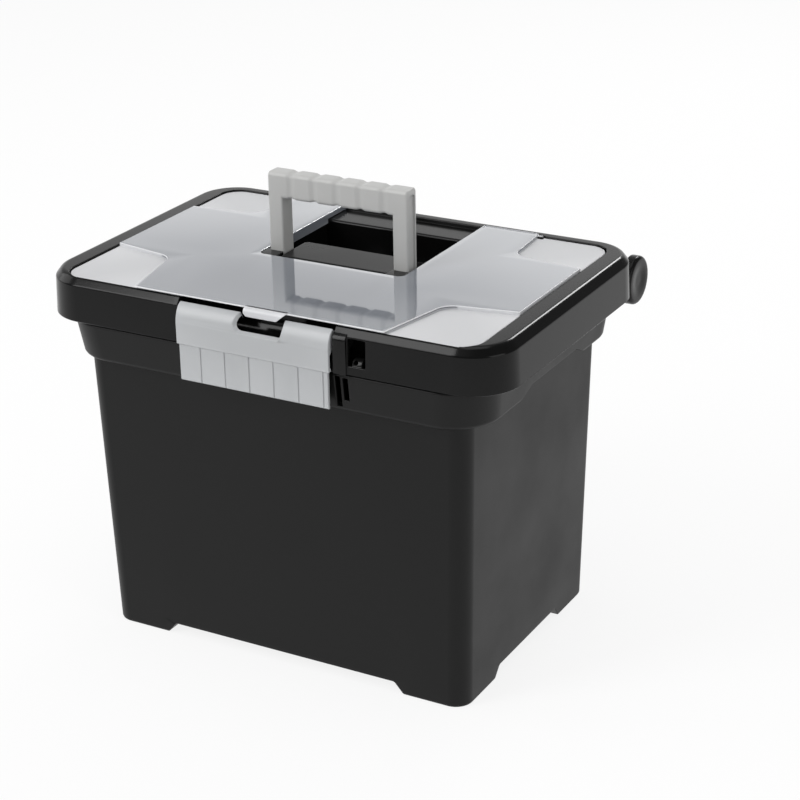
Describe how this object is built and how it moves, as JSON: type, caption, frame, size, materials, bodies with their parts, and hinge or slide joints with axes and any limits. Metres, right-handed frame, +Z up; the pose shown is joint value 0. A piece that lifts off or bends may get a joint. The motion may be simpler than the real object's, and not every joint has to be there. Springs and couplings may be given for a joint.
{
  "type": "portable file box",
  "caption": "Black plastic file box with a hinged lid, an organiser under a translucent cover, a folding grey handle and a grey front latch.",
  "frame": {"origin": "under the middle of the whole box, latch and hinge pins included, on the surface it stands on", "axes": "+X along the length of the box, +Y from the latch to the hinge, +Z up through the handle"},
  "size_m": [0.381, 0.277, 0.352],
  "materials": {
    "tub_black": "satin",
    "lid_black": "gloss",
    "cover_clear": "translucent gloss",
    "grey_plastic": "satin"
  },
  "bodies": {
    "tub": {"tub": "tub_black", "hinge_pin_left": "lid_black", "hinge_pin_right": "lid_black"},
    "lid": {"lid": "lid_black"},
    "organiser_cover": {"organiser_cover": "cover_clear"},
    "carry_handle": {"carry_handle": "grey_plastic"},
    "latch": {"latch": "grey_plastic"}
  },
  "joints": [
    {"name": "lid_hinge", "type": "hinge", "parent": "tub", "child": "lid", "pos_m": [0, 0.119, 0.261], "axis": [-1, 0, 0], "range_deg": [0, 105]},
    {"name": "latch_pivot", "type": "hinge", "parent": "lid", "child": "latch", "pos_m": [0, -0.1291, 0.28], "axis": [-1, 0, 0], "range_deg": [0, 80]},
    {"name": "handle_fold", "type": "hinge", "parent": "lid", "child": "carry_handle", "pos_m": [0, -0.0085, 0.28], "axis": [-1, 0, 0], "range_deg": [0, 90]},
    {"name": "cover_hinge", "type": "hinge", "parent": "lid", "child": "organiser_cover", "pos_m": [0, 0.1022, 0.2895], "axis": [-1, 0, 0], "range_deg": [0, 22]}
  ]
}
